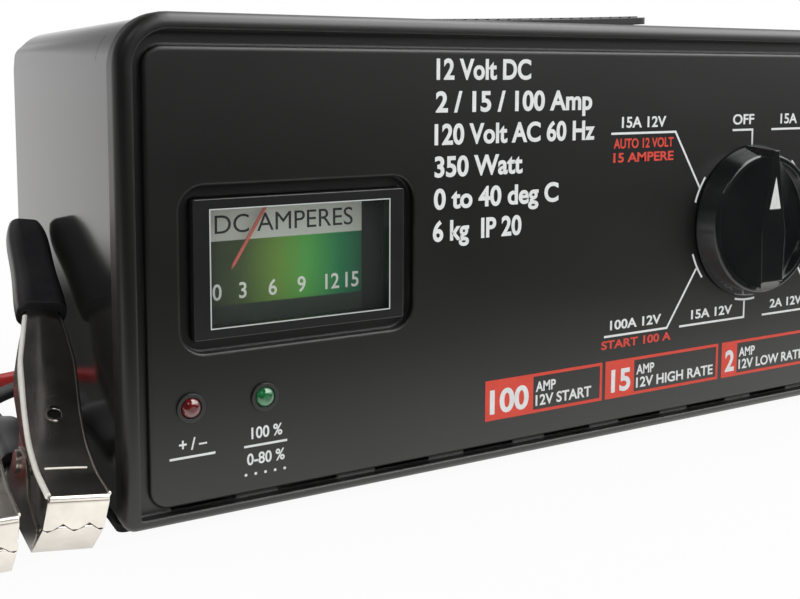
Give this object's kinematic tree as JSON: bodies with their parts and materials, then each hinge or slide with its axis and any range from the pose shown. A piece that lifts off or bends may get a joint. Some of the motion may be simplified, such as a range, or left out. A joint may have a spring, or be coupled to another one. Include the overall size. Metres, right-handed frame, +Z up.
{
  "type": "car battery charger",
  "caption": "Bench car battery charger: wide black case with a needle meter, a rotary selector, two pilot lights, a folding handle and two sprung clamps on leads.",
  "frame": {"origin": "on the surface that the charger stands on, in the middle of its footprint from the knob's face to the rear bushings", "axes": "+X to the right of the front panel, +Y to the back, +Z up"},
  "size_m": [0.3849, 0.2893, 0.1596],
  "materials": {
    "panel_plastic": "fine moulded texture, satin black",
    "cover_paint": "semi-gloss dark grey powder coat",
    "bare_sheet": "zinc plated, dull",
    "foot_rubber": "matte",
    "screw_steel": "zinc plated",
    "handle_plastic": "satin black with ribs",
    "meter_plastic": "glossy black",
    "meter_window": "clear",
    "dial_card": "printed card, green to olive",
    "movement_metal": "cast",
    "needle_red": "matte red",
    "led_ring_plastic": "black",
    "red_lamp": "tinted, unlit",
    "green_lamp": "tinted, unlit",
    "board_laminate": "green solder mask",
    "board_black": "black",
    "switch_phenolic": "brown",
    "knob_plastic": "glossy black",
    "pointer_white": "white fill",
    "core_iron": "varnished laminations",
    "winding_copper": "varnished copper",
    "sink_aluminium": "plain",
    "cell_metal": "plated",
    "breaker_case": "black",
    "bushing_rubber": "matte",
    "red_lead": "satin PVC",
    "black_lead": "satin PVC",
    "clamp_steel": "bright nickel-plated pressed steel",
    "spring_steel": "spring wire",
    "black_boot": "soft PVC, satin",
    "red_boot": "soft PVC, satin"
  },
  "bodies": {
    "case": {"front_panel": "panel_plastic", "case_cover": "cover_paint", "rear_panel": "cover_paint", "base_pan": "bare_sheet", "core_angles": "bare_sheet", "handle_bracket_left": "bare_sheet", "handle_bracket_right": "bare_sheet", "rubber_feet": "foot_rubber", "case_screws": "screw_steel", "bracket_screws": "screw_steel", "board_screws": "screw_steel", "core_bolts": "screw_steel", "handle_pins": "screw_steel", "selector_nut": "screw_steel", "meter_housing": "meter_plastic", "meter_lens": "meter_window", "meter_dial": "dial_card", "meter_movement": "movement_metal", "led_rings": "led_ring_plastic", "red_led": "red_lamp", "green_led": "green_lamp", "circuit_board": "board_laminate", "board_parts": "board_black", "selector_switch": "switch_phenolic", "transformer_core": "core_iron", "transformer_coil": "winding_copper", "rectifier_sink": "sink_aluminium", "rectifier_cells": "cell_metal", "thermal_breaker": "breaker_case", "red_bushing": "bushing_rubber", "black_bushing": "bushing_rubber", "mains_bushing": "bushing_rubber", "red_lead_in": "red_lead", "red_lead_coil": "red_lead", "red_lead_out": "red_lead", "black_lead_in": "black_lead", "black_lead_coil": "black_lead", "black_lead_out": "black_lead", "black_clamp_lower_jaw": "clamp_steel", "black_clamp_pin": "clamp_steel", "red_clamp_lower_jaw": "clamp_steel", "red_clamp_pin": "clamp_steel", "black_clamp_spring": "spring_steel", "red_clamp_spring": "spring_steel", "black_lower_boot": "black_boot", "red_lower_boot": "red_boot"},
    "handle": {"carry_handle": "handle_plastic"},
    "selector": {"selector_knob": "knob_plastic", "knob_pointer": "pointer_white", "selector_shaft": "screw_steel"},
    "needle": {"meter_needle": "needle_red"},
    "black_clamp_upper": {"black_clamp_upper_jaw": "clamp_steel", "black_upper_boot": "black_boot"},
    "red_clamp_upper": {"red_clamp_upper_jaw": "clamp_steel", "red_upper_boot": "red_boot"}
  },
  "joints": [
    {"name": "handle_fold", "type": "hinge", "parent": "case", "child": "handle", "pos_m": [0, 0.0268, 0.1555], "axis": [-1, 0, 0], "range_deg": [0, 95]},
    {"name": "selector_turn", "type": "hinge", "parent": "case", "child": "selector", "pos_m": [0.082, -0.0762, 0.0778], "axis": [0, 1, 0], "continuous": true},
    {"name": "needle_swing", "type": "hinge", "parent": "case", "child": "needle", "pos_m": [-0.111, -0.0762, 0.107], "axis": [0, -1, 0], "range_deg": [0, 63.6], "stiffness_Nm_per_rad": 0.001, "springref_deg": -11.46},
    {"name": "black_clamp_open", "type": "hinge", "parent": "case", "child": "black_clamp_upper", "pos_m": [-0.18298, -0.0437, 0.01716], "axis": [-0.9903, 0, 0.1392], "range_deg": [0, 30], "stiffness_Nm_per_rad": 1, "springref_deg": -20.05, "deforming": ["black_clamp_spring"]},
    {"name": "red_clamp_open", "type": "hinge", "parent": "case", "child": "red_clamp_upper", "pos_m": [-0.20754, -0.0472, 0.01633], "axis": [-0.9994, 0, 0.0349], "range_deg": [0, 30], "stiffness_Nm_per_rad": 1, "springref_deg": -20.05, "deforming": ["red_clamp_spring"]}
  ]
}
